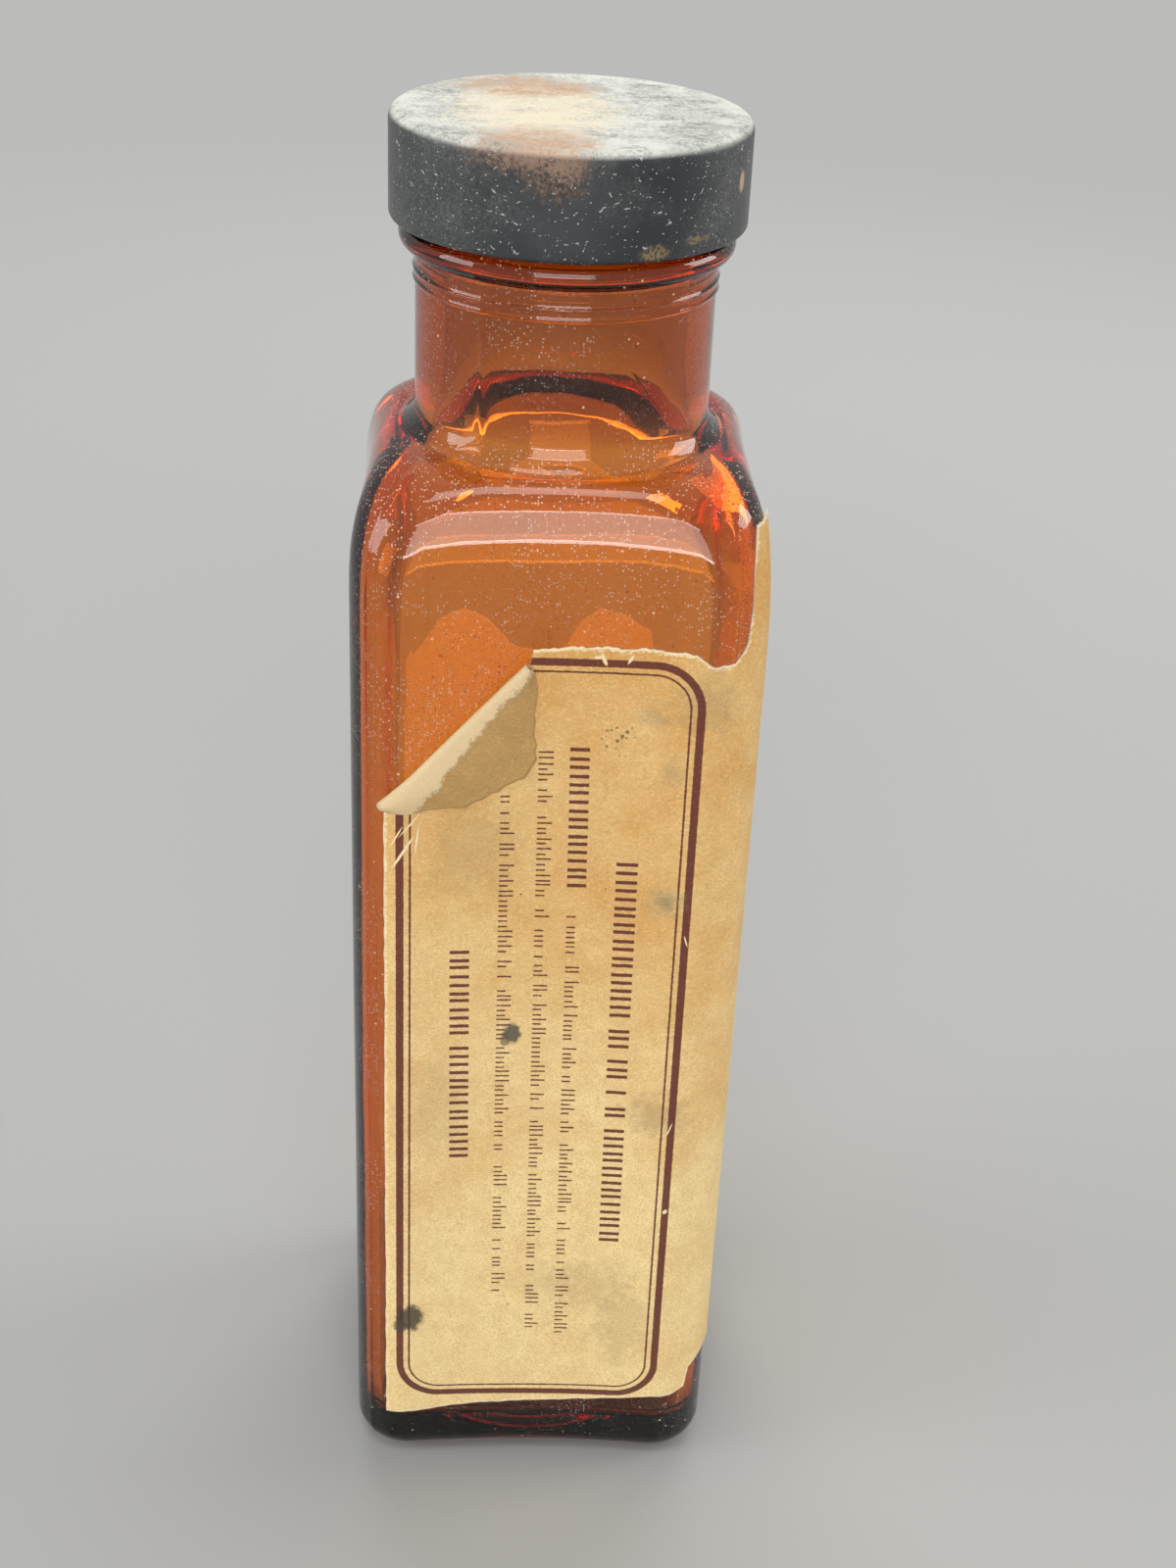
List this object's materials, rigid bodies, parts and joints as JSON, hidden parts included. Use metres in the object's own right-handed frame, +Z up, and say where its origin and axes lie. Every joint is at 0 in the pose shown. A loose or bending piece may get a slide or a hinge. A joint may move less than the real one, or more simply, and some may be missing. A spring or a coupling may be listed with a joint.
{
  "type": "glass medicine bottle",
  "caption": "Square amber glass medicine bottle with rounded shoulders, a round neck, a smooth black screw cap with a pulp liner, and a torn paper wrap label.",
  "frame": {"origin": "on the surface that the bottle stands on, under the middle of the base", "axes": "+Z up through the neck and cap, -Y out of the panel with the printed border, +X to that panel's right"},
  "size_m": [0.0483, 0.049, 0.1788],
  "materials": {
    "amber_glass": "clear gloss, dusty",
    "black_phenolic": "moulded phenolic resin dulled by dust",
    "pulp_board": "waxed pulp board",
    "aged_paper": "aged tan paper, printed maroon border"
  },
  "bodies": {
    "bottle": {"glass_bottle": "amber_glass", "wrap_label": "aged_paper"},
    "liner": {"cap_liner": "pulp_board"},
    "cap": {"screw_cap": "black_phenolic"}
  },
  "joints": [
    {"name": "cap_rise", "type": "slide", "parent": "bottle", "child": "liner", "axis": [0, 0, 1], "range_m": [0, 0.00495]},
    {"name": "cap_turn", "type": "hinge", "parent": "liner", "child": "cap", "pos_m": [0, 0, 0.173], "axis": [0, 0, 1], "range_deg": [0, 420]}
  ],
  "couplings": [
    {"joint": "cap_rise", "follows": "cap_turn", "m_per_rad": 0.0006737}
  ]
}
